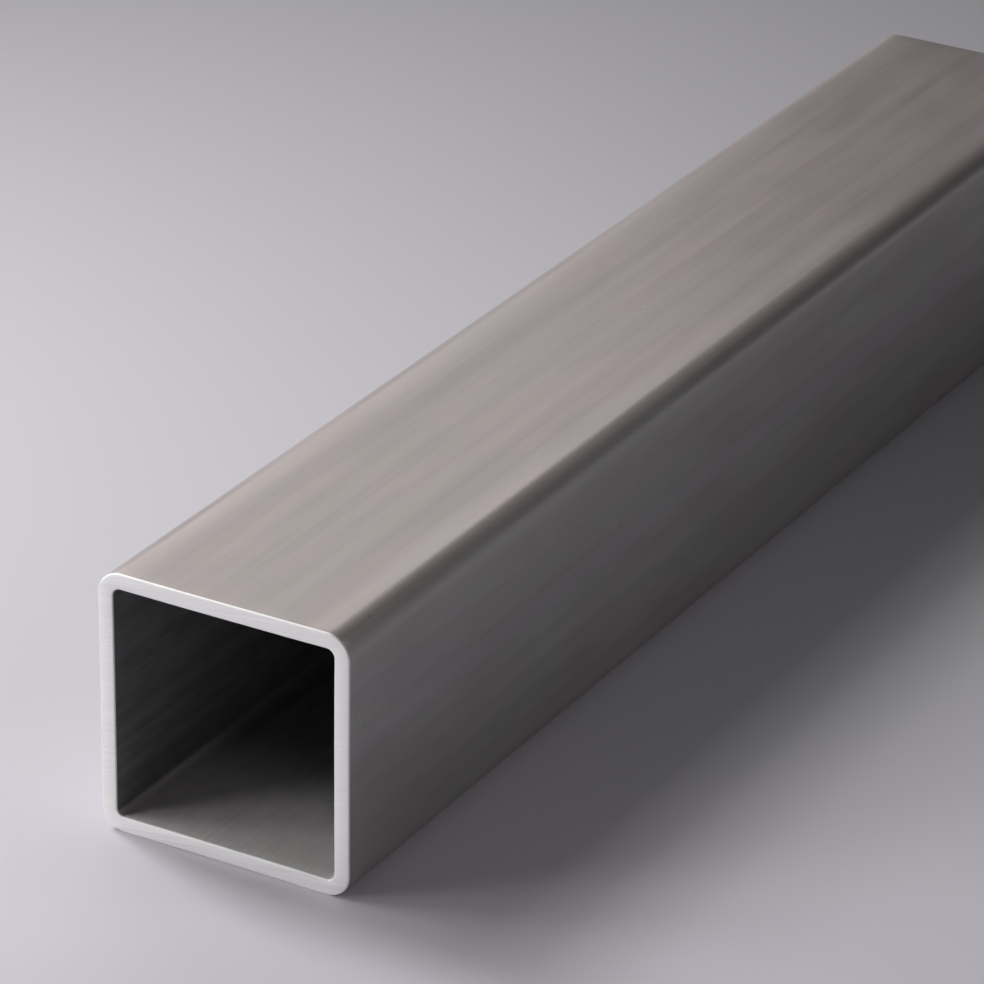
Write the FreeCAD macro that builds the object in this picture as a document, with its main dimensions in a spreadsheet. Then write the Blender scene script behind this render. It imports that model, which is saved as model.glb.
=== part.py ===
import FreeCAD, Part
import math
import os

import Sketcher

# Square steel tube, cold formed from strip, seam welded and sawn to length.
# It lies on a flat side along X. The origin is on the floor, under the middle of the tube.

# Driving sizes in millimetres: name, value, what it measures
SIZES = [
    ("side_width", 50.0, "outside width and height of the square section"),
    ("wall", 3.0, "wall thickness"),
    ("inner_radius", 1.5, "inside bend radius of the corners, the outside one is a wall more"),
    ("cut_length", 300.0, "length from one saw cut to the other"),
    ("edge_break", 0.3, "width of the bevel that deburring leaves along each sawn edge"),
    ("bead_width", 2.4, "width of the trimmed weld bead inside the tube"),
    ("bead_height", 0.25, "how far the trimmed bead stands off its wall"),
    ("seam_rise", 3.0, "height of the weld seam above the middle of its wall"),
]

PART_LABEL = "square_tube"
CORNERS = 4
QUARTER_TURN = math.pi / 2
IN_PLANE = 1e-4
MM3_PER_CM3 = 1000

# Names for the ends of a sketch line and for the sketch's own axis and origin
START = 1
END = 2
FLOOR_LINE = -1
SKETCH_ORIGIN = (-1, 1)


def add_sizes(doc):
    sheet = doc.addObject("Spreadsheet::Sheet", "Sizes")
    for row, (name, value, meaning) in enumerate(SIZES, start=1):
        sheet.set(f"A{row}", meaning)
        sheet.set(f"B{row}", str(value))
        sheet.setAlias(f"B{row}", name)
    doc.recompute()
    return sheet


# A sketch across the tube, in which X is the tube's Y and Y is the tube's Z
def add_cross_sketch(body, name):
    sketch = body.newObject("Sketcher::SketchObject", name)
    plane = next(f for f in body.Origin.OriginFeatures if f.Role == "YZ_Plane")
    sketch.AttachmentSupport = [(plane, "")]
    sketch.MapMode = "FlatFace"
    return sketch


# A named dimension that follows the driving sizes
def drive(sketch, name, rule, *constraint):
    index = sketch.addConstraint(Sketcher.Constraint(*constraint))
    sketch.renameConstraint(index, name)
    sketch.setExpression(f"Constraints.{name}", rule)


# Four flats joined by four tangent bends, counter-clockwise from the bottom flat
def draw_rounded_square(sketch, name, side, radius, bottom, rules):
    half = side / 2
    top = bottom + side
    near, far = half - radius, half
    low, high = bottom + radius, top - radius
    flat_ends = [
        ((-near, bottom), (near, bottom)),
        ((far, low), (far, high)),
        ((near, top), (-near, top)),
        ((-far, high), (-far, low)),
    ]
    bend_centres = [(near, low), (near, high), (-near, high), (-near, low)]
    flats = []
    bends = []
    for turn in range(CORNERS):
        ends = [FreeCAD.Vector(*point, 0) for point in flat_ends[turn]]
        flats.append(sketch.addGeometry(Part.LineSegment(*ends), False))
        centre = FreeCAD.Vector(*bend_centres[turn], 0)
        circle = Part.Circle(centre, FreeCAD.Vector(0, 0, 1), radius)
        first = (turn - 1) * QUARTER_TURN
        bend = Part.ArcOfCircle(circle, first, first + QUARTER_TURN)
        bends.append(sketch.addGeometry(bend, False))

    for turn in range(CORNERS):
        next_flat = flats[(turn + 1) % CORNERS]
        sketch.addConstraint(Sketcher.Constraint("Tangent", flats[turn], END, bends[turn], START))
        sketch.addConstraint(Sketcher.Constraint("Tangent", bends[turn], END, next_flat, START))
        level = "Vertical" if turn % 2 else "Horizontal"
        sketch.addConstraint(Sketcher.Constraint(level, flats[turn]))
        if turn:
            sketch.addConstraint(Sketcher.Constraint("Equal", bends[0], bends[turn]))

    floor, right, roof, left = flats
    drive(sketch, name + "Radius", rules["radius"], "Radius", bends[0], radius)
    drive(sketch, name + "Width", rules["side"], "DistanceX", left, START, right, START, side)
    drive(sketch, name + "Height", rules["side"], "DistanceY", floor, START, roof, START, side)
    half_rule = f"({rules['side']}) / 2"
    drive(sketch, name + "Half", half_rule, "DistanceX", left, START, *SKETCH_ORIGIN, half)
    return floor


# The walls: an outer and an inner rounded square, drawn out to the full length
def add_walls(body, sheet):
    section = add_cross_sketch(body, "TubeSection")
    outer_radius = sheet.inner_radius + sheet.wall
    outer_floor = draw_rounded_square(
        section,
        "Outer",
        sheet.side_width,
        outer_radius,
        0,
        {"side": "Sizes.side_width", "radius": "Sizes.inner_radius + Sizes.wall"},
    )
    section.addConstraint(
        Sketcher.Constraint("PointOnObject", outer_floor, START, FLOOR_LINE)
    )
    inner_floor = draw_rounded_square(
        section,
        "Inner",
        sheet.side_width - 2 * sheet.wall,
        sheet.inner_radius,
        sheet.wall,
        {"side": "Sizes.side_width - 2 * Sizes.wall", "radius": "Sizes.inner_radius"},
    )
    drive(
        section,
        "FloorWall",
        "Sizes.wall",
        "DistanceY",
        *SKETCH_ORIGIN,
        inner_floor,
        START,
        sheet.wall,
    )

    walls = body.newObject("PartDesign::Pad", "Walls")
    walls.Profile = section
    walls.SideType = "Symmetric"
    walls.setExpression("Length", "Sizes.cut_length")
    return walls


# The bevels: every edge of both saw cuts, outside and inside
def add_edge_breaks(body, walls, sheet):
    half_length = sheet.cut_length / 2
    sawn = []
    for number, edge in enumerate(walls.Shape.Edges, start=1):
        box = edge.BoundBox
        flat = box.XLength < IN_PLANE
        if flat and abs(abs(box.XMin) - half_length) < IN_PLANE:
            sawn.append(f"Edge{number}")
    breaks = body.newObject("PartDesign::Chamfer", "EdgeBreaks")
    breaks.Base = (walls, sawn)
    breaks.setExpression("Size", "Sizes.edge_break")
    return breaks


# The weld bead, trimmed to a low round ridge on the inside of the -Y wall, between the bevels
def add_weld_bead(body, sheet):
    wall_face = sheet.wall - sheet.side_width / 2
    middle = sheet.side_width / 2 + sheet.seam_rise
    low = FreeCAD.Vector(wall_face, middle - sheet.bead_width / 2, 0)
    high = FreeCAD.Vector(wall_face, middle + sheet.bead_width / 2, 0)
    crown = FreeCAD.Vector(wall_face + sheet.bead_height, middle, 0)

    section = add_cross_sketch(body, "BeadSection")
    root = section.addGeometry(Part.LineSegment(high, low), False)
    ridge = section.addGeometry(Part.Arc(low, crown, high), False)
    section.addConstraint(Sketcher.Constraint("Vertical", root))
    section.addConstraint(Sketcher.Constraint("Coincident", root, END, ridge, START))
    section.addConstraint(Sketcher.Constraint("Coincident", root, START, ridge, END))
    drive(
        section,
        "BeadWidth",
        "Sizes.bead_width",
        "DistanceY",
        root,
        END,
        root,
        START,
        sheet.bead_width,
    )
    drive(
        section,
        "WallFace",
        "Sizes.side_width / 2 - Sizes.wall",
        "DistanceX",
        root,
        START,
        *SKETCH_ORIGIN,
        -wall_face,
    )
    drive(
        section,
        "SeamHeight",
        "Sizes.side_width / 2 + Sizes.seam_rise - Sizes.bead_width / 2",
        "DistanceY",
        *SKETCH_ORIGIN,
        root,
        END,
        low.y,
    )
    ridge_radius = (sheet.bead_width**2 / 4 + sheet.bead_height**2) / (2 * sheet.bead_height)
    ridge_rule = "(Sizes.bead_width ^ 2 / 4 + Sizes.bead_height ^ 2) / (2 * Sizes.bead_height)"
    drive(section, "RidgeRadius", ridge_rule, "Radius", ridge, ridge_radius)

    bead = body.newObject("PartDesign::Pad", "WeldBead")
    bead.Profile = section
    bead.SideType = "Symmetric"
    bead.setExpression("Length", "Sizes.cut_length - 2 * Sizes.edge_break")
    return bead


def add_tube(doc, sheet):
    tube = doc.addObject("PartDesign::Body", "SquareTube")
    tube.Label = PART_LABEL
    walls = add_walls(tube, sheet)
    doc.recompute()
    breaks = add_edge_breaks(tube, walls, sheet)
    doc.recompute()
    bead = add_weld_bead(tube, sheet)
    tube.Tip = bead
    doc.recompute()
    if not walls.Shape.Volume > breaks.Shape.Volume:
        raise RuntimeError("the bevels took nothing off the sawn edges")
    if not bead.Shape.Volume > breaks.Shape.Volume:
        raise RuntimeError("the weld bead added nothing inside the tube")
    return tube


def check(doc, parts):
    for item in doc.Objects:
        if "Invalid" in item.State or "Error" in item.State:
            raise RuntimeError(f"{item.Label} failed: {item.State}")
    for part in parts:
        shape = part.Shape
        if shape.isNull() or not shape.isValid() or len(shape.Solids) != 1:
            raise RuntimeError(f"{part.Label} isn't one valid solid")


def main():
    doc = FreeCAD.newDocument("SquareTubeStock")
    sheet = add_sizes(doc)
    parts = [add_tube(doc, sheet)]
    check(doc, parts)
    os.makedirs("parts", exist_ok=True)
    for part in parts:
        part.Shape.exportStep(os.path.join("parts", f"{part.Label}.step"))
        box = part.Shape.BoundBox
        print(
            f"{part.Label}: {box.XLength:.2f} x {box.YLength:.2f} x {box.ZLength:.2f} mm, "
            f"{part.Shape.Volume / MM3_PER_CM3:.2f} cm3, {len(part.Shape.Faces)} faces"
        )


main()
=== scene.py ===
import math

import bmesh
import bpy
from mathutils import Matrix, Vector, noise


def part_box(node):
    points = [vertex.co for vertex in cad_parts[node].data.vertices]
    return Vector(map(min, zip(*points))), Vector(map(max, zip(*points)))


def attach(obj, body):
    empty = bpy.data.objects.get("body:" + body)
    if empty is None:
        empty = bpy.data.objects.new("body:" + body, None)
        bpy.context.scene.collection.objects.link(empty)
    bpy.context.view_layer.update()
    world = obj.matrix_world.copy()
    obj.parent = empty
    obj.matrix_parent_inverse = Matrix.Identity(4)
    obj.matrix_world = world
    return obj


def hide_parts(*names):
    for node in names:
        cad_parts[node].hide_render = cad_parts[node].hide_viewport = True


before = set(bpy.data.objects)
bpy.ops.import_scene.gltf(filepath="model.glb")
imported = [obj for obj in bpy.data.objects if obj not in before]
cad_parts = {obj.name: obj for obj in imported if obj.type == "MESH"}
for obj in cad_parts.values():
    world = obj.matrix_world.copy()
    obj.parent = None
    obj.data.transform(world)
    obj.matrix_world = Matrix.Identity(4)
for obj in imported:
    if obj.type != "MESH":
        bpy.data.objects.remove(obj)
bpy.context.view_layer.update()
tubeLow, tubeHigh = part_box("square_tube")
mm = 0.001
quarterTurn = math.pi / 2
print("frame loaded, tube", [round(side / mm, 2) for side in tubeHigh - tubeLow], "mm")


# A node socket that takes part in plain expressions, each of which adds its Math nodes
class Wire:
    def __init__(self, tree, socket=None):
        self.tree = tree
        self.socket = socket

    # Any node: its type, the settings that come first, then values or links for its sockets
    def node(self, kind, settings=None, sockets=None, output=0):
        made = self.tree.nodes.new("ShaderNode" + kind)
        for name, value in (settings or {}).items():
            setattr(made, name, value)
        for name, value in (sockets or {}).items():
            socket = next(s for s in made.inputs if name in (s.identifier, s.name))
            if isinstance(value, Wire):
                self.tree.links.new(value.socket, socket)
            else:
                socket.default_value = value
        results = [s for number, s in enumerate(made.outputs) if output in (number, s.identifier)]
        return Wire(self.tree, results[0]) if results else None

    def maths(self, operation, first, second=0.0):
        return self.node("Math", {"operation": operation}, {"Value": first, "Value_001": second})

    def __add__(self, other):
        return self.maths("ADD", self, other)

    def __sub__(self, other):
        return self.maths("SUBTRACT", self, other)

    def __rsub__(self, other):
        return self.maths("SUBTRACT", other, self)

    def __mul__(self, other):
        return self.maths("MULTIPLY", self, other)

    def __abs__(self):
        return self.maths("ABSOLUTE", self)

    __radd__ = __add__
    __rmul__ = __mul__

    # 0 below low, 1 above high, smooth between; with low above high it falls instead
    def step(self, low, high):
        settings = {"interpolation_type": "SMOOTHSTEP"}
        if low < high:
            return self.node("MapRange", settings, {"Value": self, "From Min": low, "From Max": high})
        return 1 - self.step(high, low)

    def tint(self, first, second):
        sockets = {"Factor_Float": self, "A_Color": first, "B_Color": second}
        return self.node("Mix", {"data_type": "RGBA"}, sockets, "Result_Color")

    # One number of a vector: X, Y or Z
    def part(self, axis):
        return self.node("SeparateXYZ", None, {"Vector": self}, axis)

    def turned(self, degrees, axis):
        settings = {"rotation_type": axis + "_AXIS"}
        return self.node("VectorRotate", settings, {"Vector": self, "Angle": math.radians(degrees)})

    # Noise whose patches are about this many millimetres long along X, Y and Z
    def grain(self, along, across, upwards, detail=2.0, rough=0.5, shift=0.0):
        scale = [1 / (size * mm) for size in (along, across, upwards)]
        sockets = {"Vector": self, "Vector_001": scale, "Vector_002": [shift] * 3}
        place = self.node("VectorMath", {"operation": "MULTIPLY_ADD"}, sockets)
        sockets = {"Vector": place, "Scale": 1.0, "Detail": detail, "Roughness": rough}
        return self.node("TexNoise", {"noise_dimensions": "3D"}, sockets)

    # Round spots scattered one to a cell: 1 in their middle third, 0 outside
    def specks(self, cell, radius):
        cells = self.node("TexVoronoi", {"feature": "F1"}, {"Vector": self, "Scale": 1 / (cell * mm)})
        return cells.step(radius / cell, radius / cell / 3)


def newMaterial(name):
    material = bpy.data.materials.new(name)
    material.use_nodes = True
    material.node_tree.nodes.clear()
    return material, Wire(material.node_tree)


# The tube's dressed mesh: bends, drawn-in flats, rounded cut edges and the trimmed weld bead
tube = {
    "wall": 3.0 * mm,
    "insideBend": 1.5 * mm,
    "edgeRound": 0.3 * mm,
    "edgeWear": 0.3,  # share by which the rounding grows and shrinks along a cut
    "edgeWearLength": 7 * mm,
    "edgeSteps": 4,
    "flatSteps": 16,
    "bendSteps": 12,
    "stationGap": 2.5 * mm,
    "drawIn": 0.05 * mm,  # how far a flat falls in halfway between its bends
    "wave": 0.02 * mm,  # slow unevenness of the rolled strip
    "waveLength": 60 * mm,
    "beadWidth": 2.4 * mm,
    "beadHeight": 0.25 * mm,
    "beadSteps": 8,
    "beadClear": 0.8,  # within this many bead widths of the seam a flat's own steps are left out
    "beadRunIn": 3.0 * mm,  # deburring has taken the bead down this far into each mouth
    "seamRise": 3.0 * mm,
    "hair": 0.001 * mm,  # lengths that differ by less are the same
}
finishes = ("skin", "cut", "bore")  # in the order of the mesh's materials


# Places along a flat from 0 to 1, closer together over the weld seam
def flatPlaces(side, middle, width):
    places = [step / tube["flatSteps"] for step in range(tube["flatSteps"] + 1)]
    if side != "seam":
        return places
    spread = [step / tube["beadSteps"] * 2 - 1 for step in range(tube["beadSteps"] + 1)]
    seam = [middle + width / 2 * place for place in spread]
    clear = [place for place in places if abs(place - middle) > width * tube["beadClear"]]
    return sorted(clear + seam)


# Points round a square with bends, each with its outward direction and its share of drawIn
def roundedSquare(half, bend):
    points = []
    flatLength = 2 * (half - bend)
    for turn, side in enumerate(("floor", "right", "top", "seam")):
        out = Vector((math.sin(turn * quarterTurn), -math.cos(turn * quarterTurn)))
        along = Vector((-out.y, out.x))
        # the seam side runs downwards, so a rise above the middle comes before halfway
        middle = 0.5 - tube["seamRise"] / flatLength
        for place in flatPlaces(side, middle, tube["beadWidth"] / flatLength):
            spot = out * half + along * (place - 0.5) * flatLength
            points.append((spot, out, 1 - (2 * place - 1) ** 2, side))
        centre = (out + along) * (half - bend)
        for step in range(1, tube["bendSteps"]):
            angle = step / tube["bendSteps"] * quarterTurn
            lean = out * math.cos(angle) + along * math.sin(angle)
            points.append((centre + lean * bend, lean, 0.0, "bend"))
    return points


# The rounding of one edge of a saw cut, one loop each: x, how far it stands in, whether it is inside
def edgeLoops(sign, inside, halfLength):
    edge = tube["edgeRound"]
    for step in range(tube["edgeSteps"] + 1):
        angle = step / tube["edgeSteps"] * quarterTurn
        x = halfLength - edge * (1 - math.sin(angle))
        yield sign * x, edge * (1 - math.cos(angle)), inside


# All loops of the closed mesh: out over the skin, round one cut, back through the bore, round the other
def tubeLoops(halfLength):
    skinEnd = halfLength - tube["edgeRound"]
    stations = round(2 * skinEnd / tube["stationGap"])
    stops = [-skinEnd + 2 * skinEnd * step / stations for step in range(1, stations)]
    loops = list(reversed(list(edgeLoops(-1, False, halfLength))))
    loops += [(x, 0.0, False) for x in stops]
    loops += list(edgeLoops(1, False, halfLength))
    loops += list(reversed(list(edgeLoops(1, True, halfLength))))
    loops += [(x, 0.0, True) for x in reversed(stops)]
    loops += list(edgeLoops(-1, True, halfLength))
    return loops


def beadRise(spot, depth):
    away = (spot.y - tube["seamRise"]) / (tube["beadWidth"] / 2)
    runIn = min(1.0, max(0.0, depth / tube["beadRunIn"]))
    return tube["beadHeight"] * max(0.0, 1 - away**2) * runIn


# A ring's point where it really lies: flats drawn in and wavy, edges worn, the bead proud of its wall
def dressedSpot(point, x, inset, inside, skinEnd):
    spot, out, share, side = point
    here = Vector((x, spot.x, spot.y))
    slow = noise.noise(here / tube["waveLength"])
    sink = tube["drawIn"] * share + tube["wave"] * share * (slow + 1) / 2
    worn = inset * (1 + tube["edgeWear"] * noise.noise(here / tube["edgeWearLength"]))
    move = worn - sink if inside else -worn - sink
    if inside and side == "seam":
        move -= beadRise(spot, skinEnd - abs(x))
    return spot + out * move


def buildTube():
    half = (tubeHigh.z - tubeLow.z) / 2
    halfLength = (tubeHigh.x - tubeLow.x) / 2
    skinEnd = halfLength - tube["edgeRound"]
    outerRing = roundedSquare(half, tube["insideBend"] + tube["wall"])
    innerRing = roundedSquare(half - tube["wall"], tube["insideBend"])
    loops = tubeLoops(halfLength)

    mesh = bmesh.new()
    rows = []
    for x, inset, inside in loops:
        ring = innerRing if inside else outerRing
        spots = [dressedSpot(point, x, inset, inside, skinEnd) for point in ring]
        rows.append([mesh.verts.new((x, spot.x, spot.y + half)) for spot in spots])

    for number, row in enumerate(rows):
        following = rows[(number + 1) % len(rows)]
        reach = max(abs(row[0].co.x), abs(following[0].co.x))
        if reach > skinEnd + tube["hair"]:
            finish = "cut"
        else:
            finish = "bore" if loops[number][2] else "skin"
        for step in range(len(row)):
            after = (step + 1) % len(row)
            face = mesh.faces.new((row[step], row[after], following[after], following[step]))
            face.material_index = finishes.index(finish)
            face.smooth = True
    bmesh.ops.recalc_face_normals(mesh, faces=mesh.faces)
    data = bpy.data.meshes.new("squareTube")
    mesh.to_mesh(data)
    mesh.free()
    made = bpy.data.objects.new("tube_body", data)
    bpy.context.scene.collection.objects.link(made)
    return made


def finishSteel(material, start, bumpDepth, height, sockets):
    bump = start.node("Bump", None, {"Strength": 1.0, "Distance": bumpDepth, "Height": height})
    shader = start.node("BsdfPrincipled", None, {**sockets, "Normal": bump})
    start.node("OutputMaterial", None, {"Surface": shader})
    return material


# The rolled outside: long soft streaks, hair lines, warm and neutral patches, a painted highlight with
# worn polish beside the top's bends, and painted shade that makes the flanks cooler and darker.
# A grain here and below is its size along X, Y and Z in millimetres, then its detail, roughness and shift.
skin = {
    "warm": (0.560, 0.480, 0.472, 1.0),
    "neutral": (0.515, 0.470, 0.452, 1.0),
    # the next two are painted shade: cooler, darker copies of the top's colours for the two flanks
    "shadedCool": (0.465, 0.475, 0.465, 1.0),
    "shadedDark": (0.455, 0.440, 0.455, 1.0),
    "dark": (0.340, 0.312, 0.302, 1.0),
    # also the painted highlight beside the top's bends, and the bare metal in the scratches
    "polishAndHighlight": (0.660, 0.592, 0.578, 1.0),
    "pit": (0.150, 0.135, 0.130, 1.0),
    "seam": (0.470, 0.460, 0.470, 1.0),
    "metallic": 0.60,
    "roughness": 0.45,
    "streaks": (90, 3.2, 3.2, 3.0, 0.55),
    "lines": (140, 0.45, 0.45, 2.0, 0.6),
    "patches": (38, 13, 13, 4.0, 0.6),
    "hues": (30, 9, 9, 3.0, 0.5, 37),
    "wear": (25, 6, 6, 4.0, 0.65, 11),
    "ripple": (2.5, 0.8, 0.8, 2.0),
    "scratches": (11, 0.16, 9, 1.0),
    "scratchTurn": 24,  # degrees from the tube's length
    "pitGap": 5.0,  # millimetres, as the next
    "pitRadius": 0.32,
    "streakShade": 0.28,
    "lineShade": 0.15,
    "patchShade": 0.16,
    # painted highlight beside the top's bends; the next is worn polish on that band, and the one after
    # lighter streaks
    "bendHighlight": 0.22,
    "wornPolishAndHighlight": 0.4,
    "streakShine": 0.10,
    "sideShadeDull": 0.85,  # how far the two flanks are painted cooler and darker than the top, as painted shade, and kept free of the top's painted highlight
    "seamShare": 0.5,
    "seamHalf": 2.0 * mm,  # half the width of the seam's band, and where it has faded out
    "seamFade": 2.5 * mm,
    "scratchShare": 0.5,
    "pitShare": 0.7,
    "bumpDepth": 0.008 * mm,
}


def makeSkin():
    material, start = newMaterial("rolled_steel")
    place = start.node("TexCoord", output="Object")
    across, upwards = place.part("Y"), place.part("Z")
    half = tubeHigh.z / 2
    sideways, level = abs(across) * (1 / half), abs(upwards - half) * (1 / half)
    beside = start.maths("MINIMUM", sideways, level).step(0.55, 0.86)
    # painted shade: the flanks are tinted cooler and darker than the top
    sideShade = sideways.step(0.88, 0.98) * skin["sideShadeDull"]

    streaks = place.grain(*skin["streaks"])
    lines = place.grain(*skin["lines"])
    patches = place.grain(*skin["patches"])
    hues = place.grain(*skin["hues"])
    wear = place.grain(*skin["wear"])

    colour = hues.step(0.36, 0.64).tint(skin["neutral"], skin["warm"])
    colour = sideShade.tint(colour, hues.step(0.42, 0.58).tint(skin["shadedCool"], skin["shadedDark"]))
    shade = streaks.step(0.64, 0.28) * skin["streakShade"] + lines.step(0.62, 0.32) * skin["lineShade"]
    shade = shade + patches.step(0.6, 0.35) * skin["patchShade"]
    colour = shade.tint(colour, skin["dark"])
    # painted highlight beside the top's bends, broken up by worn polish, plus lighter streaks
    highlightAndPolish = beside * (skin["bendHighlight"] + skin["wornPolishAndHighlight"] * wear) * (1 - sideShade)
    highlightAndPolish = highlightAndPolish + streaks.step(0.55, 0.75) * skin["streakShine"]
    colour = highlightAndPolish.tint(colour, skin["polishAndHighlight"])

    seam = abs(upwards - half - tube["seamRise"]).step(skin["seamFade"], skin["seamHalf"])
    seam = seam * across.step(-half * 0.98, -half * 0.99)
    colour = (seam * skin["seamShare"]).tint(colour, skin["seam"])

    scratches = place.turned(skin["scratchTurn"], "Z").grain(*skin["scratches"]).step(0.70, 0.76)
    scratches = scratches * wear.step(0.5, 0.62)
    colour = (scratches * skin["scratchShare"]).tint(colour, skin["polishAndHighlight"])
    pits = place.specks(skin["pitGap"], skin["pitRadius"]) * patches.step(0.50, 0.62)
    colour = (pits * skin["pitShare"]).tint(colour, skin["pit"])

    roughness = skin["roughness"] + (lines - 0.5) * 0.16 + (patches - 0.5) * 0.20 - beside * 0.06
    ripple = place.grain(*skin["ripple"])
    height = lines * 0.6 + streaks * 1.5 + ripple * 0.8 - pits * 1.5 - scratches * 0.3
    sockets = {"Base Color": colour, "Metallic": skin["metallic"], "Roughness": roughness}
    return finishSteel(material, start, skin["bumpDepth"], height, sockets)


# The sawn ends: bright, with the fine lines that the blade leaves
cut = {
    "bright": (0.98, 0.975, 0.97, 1.0),
    "line": (0.91, 0.90, 0.895, 1.0),
    "metallic": 0.20,
    "roughness": 0.45,
    "slope": 7,  # degrees between the blade's lines and the floor
    "teeth": (5, 30, 0.14, 2.0),
    "chatter": (5, 60, 0.9, 1.0),
    "bumpDepth": 0.012 * mm,
}


def makeCut():
    material, start = newMaterial("sawn_steel")
    place = start.node("TexCoord", output="Object").turned(cut["slope"], "X")
    teeth = place.grain(*cut["teeth"])
    colour = teeth.step(0.62, 0.36).tint(cut["bright"], cut["line"])
    roughness = cut["roughness"] + (teeth - 0.5) * 0.3
    height = teeth + place.grain(*cut["chatter"]) * 2
    sockets = {"Base Color": colour, "Metallic": cut["metallic"], "Roughness": roughness}
    return finishSteel(material, start, cut["bumpDepth"], height, sockets)


# The inside: darker and rougher, with painted light on its floor by both mouths, pale, dusty in texture
# and fading inwards
bore = {
    "plain": (0.268, 0.264, 0.263, 1.0),
    "scale": (0.198, 0.194, 0.193, 1.0),
    # painted light on the bore's floor by the mouths, textured like dust
    "paintedLight": (0.790, 0.752, 0.747, 1.0),
    "paintedLightStart": 14 * mm,  # how far in the painted light begins to thin out, and where it ends
    "paintedLightEnd": 42 * mm,
    "paintedLightLevel": 0.3 * mm,  # up to here the painted light is full, and it ends a little way up the bends
    "paintedLightTop": 1.2 * mm,
    "paintedLightCover": 0.88,
    "metallic": 0.35,
    "roughness": 0.60,
    "streaks": (70, 2.5, 2.5, 3.0, 0.6),
    "lines": (120, 0.5, 0.5, 2.0, 0.6),
    "mottle": (6, 3, 3, 4.0, 0.6),
    "bumpDepth": 0.012 * mm,
}


def makeBore():
    material, start = newMaterial("bore_steel")
    place = start.node("TexCoord", output="Object")
    along, upwards = place.part("X"), place.part("Z")
    streaks = place.grain(*bore["streaks"])
    lines = place.grain(*bore["lines"])
    mottle = place.grain(*bore["mottle"])
    colour = (streaks * 0.6 + mottle * 0.4).step(0.35, 0.65).tint(bore["scale"], bore["plain"])
    # painted light: the bore's floor turns pale near each mouth and fades inwards
    paintedLightMask = upwards.step(tube["wall"] + bore["paintedLightTop"], tube["wall"] + bore["paintedLightLevel"])
    paintedLightMask = paintedLightMask * abs(along).step(tubeHigh.x - bore["paintedLightEnd"], tubeHigh.x - bore["paintedLightStart"])
    paintedLight = paintedLightMask * (bore["paintedLightCover"] + 0.4 * (mottle - 0.5) + 0.4 * (lines - 0.5))
    colour = paintedLight.tint(colour, bore["paintedLight"])
    metallic = bore["metallic"] * (1 - paintedLight * 0.9)
    roughness = bore["roughness"] + (lines - 0.5) * 0.2 + paintedLight * 0.2
    height = lines + mottle * 0.8
    sockets = {"Base Color": colour, "Metallic": metallic, "Roughness": roughness}
    return finishSteel(material, start, bore["bumpDepth"], height, sockets)


tubeBody = buildTube()
for make in (makeSkin, makeCut, makeBore):
    tubeBody.data.materials.append(make())
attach(tubeBody, "root")
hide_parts("square_tube")
print("tube dressed,", len(tubeBody.data.polygons), "faces")

floor = {
    "reach": 30.0,
    "plain": (0.656, 0.637, 0.680, 1.0),
    "paintedPool": (0.790, 0.750, 0.822, 1.0),  # painted light: the sheet is painted paler towards the open mouth
    "paintedPoolHeading": 30,  # degrees from +X towards +Y; the next two are metres along it
    "paintedPoolStart": -0.06,
    "paintedPoolEnd": -0.16,
    "roughness": 0.6,
    "seenMiddle": (0.10, -0.04, 0),  # the floor that the photograph shows lies round this place
    "fadeStart": 0.29,  # from here outwards it turns to a plain pale tone
    "fadeEnd": 0.52,
    "far": (0.360, 0.349, 0.373, 1.0),
}


# 1 for the rays that only look, so what they see sheds no light on the object
def lookingRays(start):
    camera, glossy, clear = (
        start.node("LightPath", output=f"Is {kind} Ray") for kind in ("Camera", "Glossy", "Transmission")
    )
    return start.maths("MAXIMUM", start.maths("MAXIMUM", camera, glossy), clear)


def makePaper():
    material, start = newMaterial("floor_paper")
    place = start.node("TexCoord", output="Object")
    heading = math.radians(floor["paintedPoolHeading"])
    sockets = {"Vector": place, "Vector_001": (math.cos(heading), math.sin(heading), 0)}
    along = start.node("VectorMath", {"operation": "DOT_PRODUCT"}, sockets, "Value")
    # painted light: the floor turns paler towards the open mouth
    colour = along.step(floor["paintedPoolStart"], floor["paintedPoolEnd"]).tint(floor["plain"], floor["paintedPool"])
    sockets = {"Base Color": colour, "Roughness": floor["roughness"]}
    paper = start.node("BsdfPrincipled", None, sockets)
    haze = start.node("Emission", None, {"Color": floor["far"], "Strength": 1.0})
    sockets = {"Vector": place, "Vector_001": floor["seenMiddle"]}
    away = start.node("VectorMath", {"operation": "DISTANCE"}, sockets, "Value")
    far = away.step(floor["fadeStart"], floor["fadeEnd"]) * lookingRays(start)
    shader = start.node("MixShader", None, {"Fac": far, "Shader": paper, "Shader_001": haze})
    start.node("OutputMaterial", None, {"Surface": shader})
    return material


def buildFloor():
    mesh = bmesh.new()
    bmesh.ops.create_grid(mesh, x_segments=1, y_segments=1, size=floor["reach"])
    data = bpy.data.meshes.new("floor")
    mesh.to_mesh(data)
    mesh.free()
    data.materials.append(makePaper())
    made = bpy.data.objects.new("floor", data)
    bpy.context.scene.collection.objects.link(made)
    return made


floorSheet = buildFloor()
print("floor laid")

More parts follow.
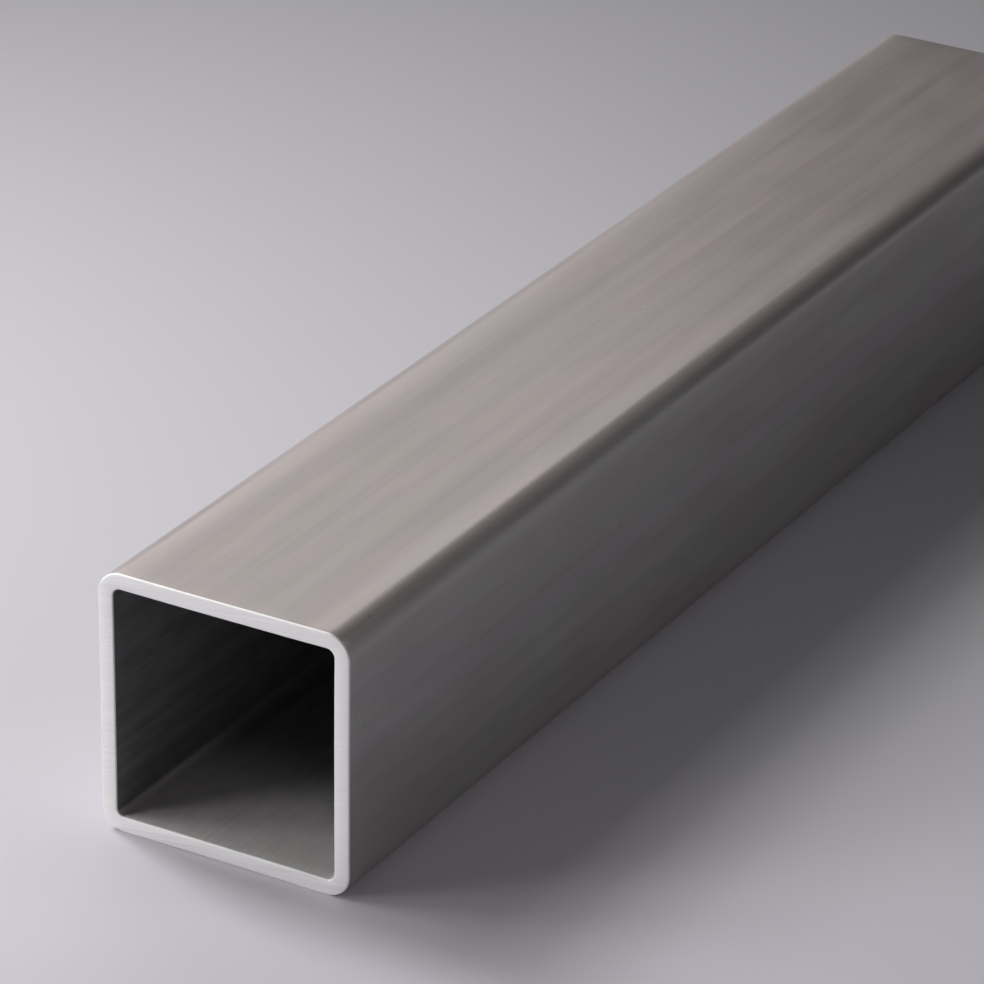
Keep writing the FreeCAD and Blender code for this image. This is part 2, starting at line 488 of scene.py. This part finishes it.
# Softboxes: azimuth from +X towards +Y and elevation in degrees, size in metres, brightness of its face
softboxes = {
    "key": {"azimuth": 76, "elevation": 40, "away": 0.60, "wide": 0.126, "high": 0.126, "level": 10.4},
    "above": {"azimuth": 76, "elevation": 50, "away": 0.50, "wide": 0.105, "high": 0.105, "level": 16.6},
    "over": {"azimuth": 80, "elevation": 54, "away": 0.42, "wide": 0.18, "high": 0.18, "level": 4.9},
    "side": {"azimuth": 110, "elevation": 32, "away": 0.50, "wide": 0.123, "high": 0.123, "level": 8.6},
    "front": {"azimuth": 130, "elevation": 14, "away": 0.85, "wide": 0.24, "high": 0.18, "level": 6.2},
    "under": {"azimuth": 134, "elevation": 6, "away": 0.85, "wide": 0.30, "high": 0.15, "level": 15.8},
    "back": {"azimuth": 35, "elevation": 30, "away": 0.60, "wide": 0.32, "high": 0.21, "level": 1.2},
    "right": {"azimuth": -68, "elevation": 38, "away": 0.30, "wide": 0.16, "high": 0.106, "level": 1.12},
}
sky = {
    "dim": (0.050, 0.050, 0.050, 1.0),
    "horizon": floor["far"],
    "glowStart": 0.06,  # sine of the elevation at which the glow begins to fade, and ends
    "glowEnd": 0.18,
}


def addSoftbox(name, box):
    azimuth, elevation = math.radians(box["azimuth"]), math.radians(box["elevation"])
    level = math.cos(elevation)
    out = Vector((level * math.cos(azimuth), level * math.sin(azimuth), math.sin(elevation)))
    aim = Vector((tubeLow.x, 0, tubeHigh.z / 2))  # the middle of the mouth
    lamp = bpy.data.lights.new(name, "AREA")
    lamp.shape = "RECTANGLE"
    lamp.size = box["wide"]
    lamp.size_y = box["high"]
    lamp.energy = math.pi * box["wide"] * box["high"] * box["level"]
    made = bpy.data.objects.new(name, lamp)
    made.location = aim + out * box["away"]
    made.rotation_euler = (-out).to_track_quat("-Z", "Y").to_euler()
    made.visible_camera = False
    bpy.context.scene.collection.objects.link(made)


for boxName, softbox in softboxes.items():
    addSoftbox(boxName, softbox)


# A dim sky, with the far floor's pale tone along the horizon for the rays that only look
def buildSky():
    made = bpy.data.worlds.new("studio")
    made.use_nodes = True
    made.node_tree.nodes.clear()
    start = Wire(made.node_tree)
    level = start.node("TexCoord", output="Generated").part("Z")
    glow = level.step(sky["glowEnd"], sky["glowStart"]) * lookingRays(start)
    background = start.node("Background", None, {"Color": glow.tint(sky["dim"], sky["horizon"])})
    start.node("OutputWorld", None, {"Surface": background})
    return made


bpy.context.scene.world = buildSky()
bpy.context.scene.view_settings.view_transform = "Standard"
print("lights up")

# The photograph's viewpoint: place in metres, angles in degrees, lens and sensor in millimetres
view = {
    "place": (-0.8057, -0.42453, 0.44968),
    "heading": 29.627,  # from +X towards +Y
    "down": 25.877,
    "roll": 0.847,
    "lens": 191.87,
    "sensor": 36,
}


def addCamera():
    heading, down = math.radians(view["heading"]), math.radians(view["down"])
    level = math.cos(down)
    forward = Vector((level * math.cos(heading), level * math.sin(heading), -math.sin(down)))
    flatRight = forward.cross(Vector((0, 0, 1))).normalized()
    right = Matrix.Rotation(-math.radians(view["roll"]), 3, forward) @ flatRight
    up = right.cross(forward)
    camera = bpy.data.cameras.new("camera")
    camera.lens = view["lens"]
    camera.sensor_width = view["sensor"]
    made = bpy.data.objects.new("camera", camera)
    turn = Matrix((right, up, -forward)).transposed()
    made.matrix_world = Matrix.Translation(view["place"]) @ turn.to_4x4()
    bpy.context.scene.collection.objects.link(made)
    bpy.context.scene.camera = made


addCamera()
print("camera set")
